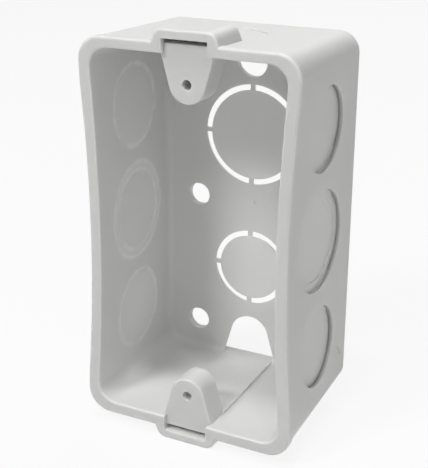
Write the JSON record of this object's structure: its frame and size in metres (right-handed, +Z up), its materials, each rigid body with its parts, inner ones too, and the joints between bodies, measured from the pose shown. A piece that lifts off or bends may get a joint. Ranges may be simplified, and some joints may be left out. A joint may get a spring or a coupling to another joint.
{
  "type": "switch box",
  "caption": "Deep rectangular moulded wall box that holds a switch or socket, open at the front, with waisted sides, screw lugs, round knockouts and arched cable holes in its back.",
  "frame": {"origin": "centre of the flat back face, which lies against what the box is fixed to", "axes": "+X to the right seen from the open front, +Y from the rim towards the back, +Z up along the long sides"},
  "size_m": [0.0594, 0.0432, 0.11],
  "materials": {
    "moulded_pvc": "satin moulded rigid PVC, light cool grey"
  },
  "bodies": {
    "root": {"box_body": "moulded_pvc"}
  },
  "joints": []
}
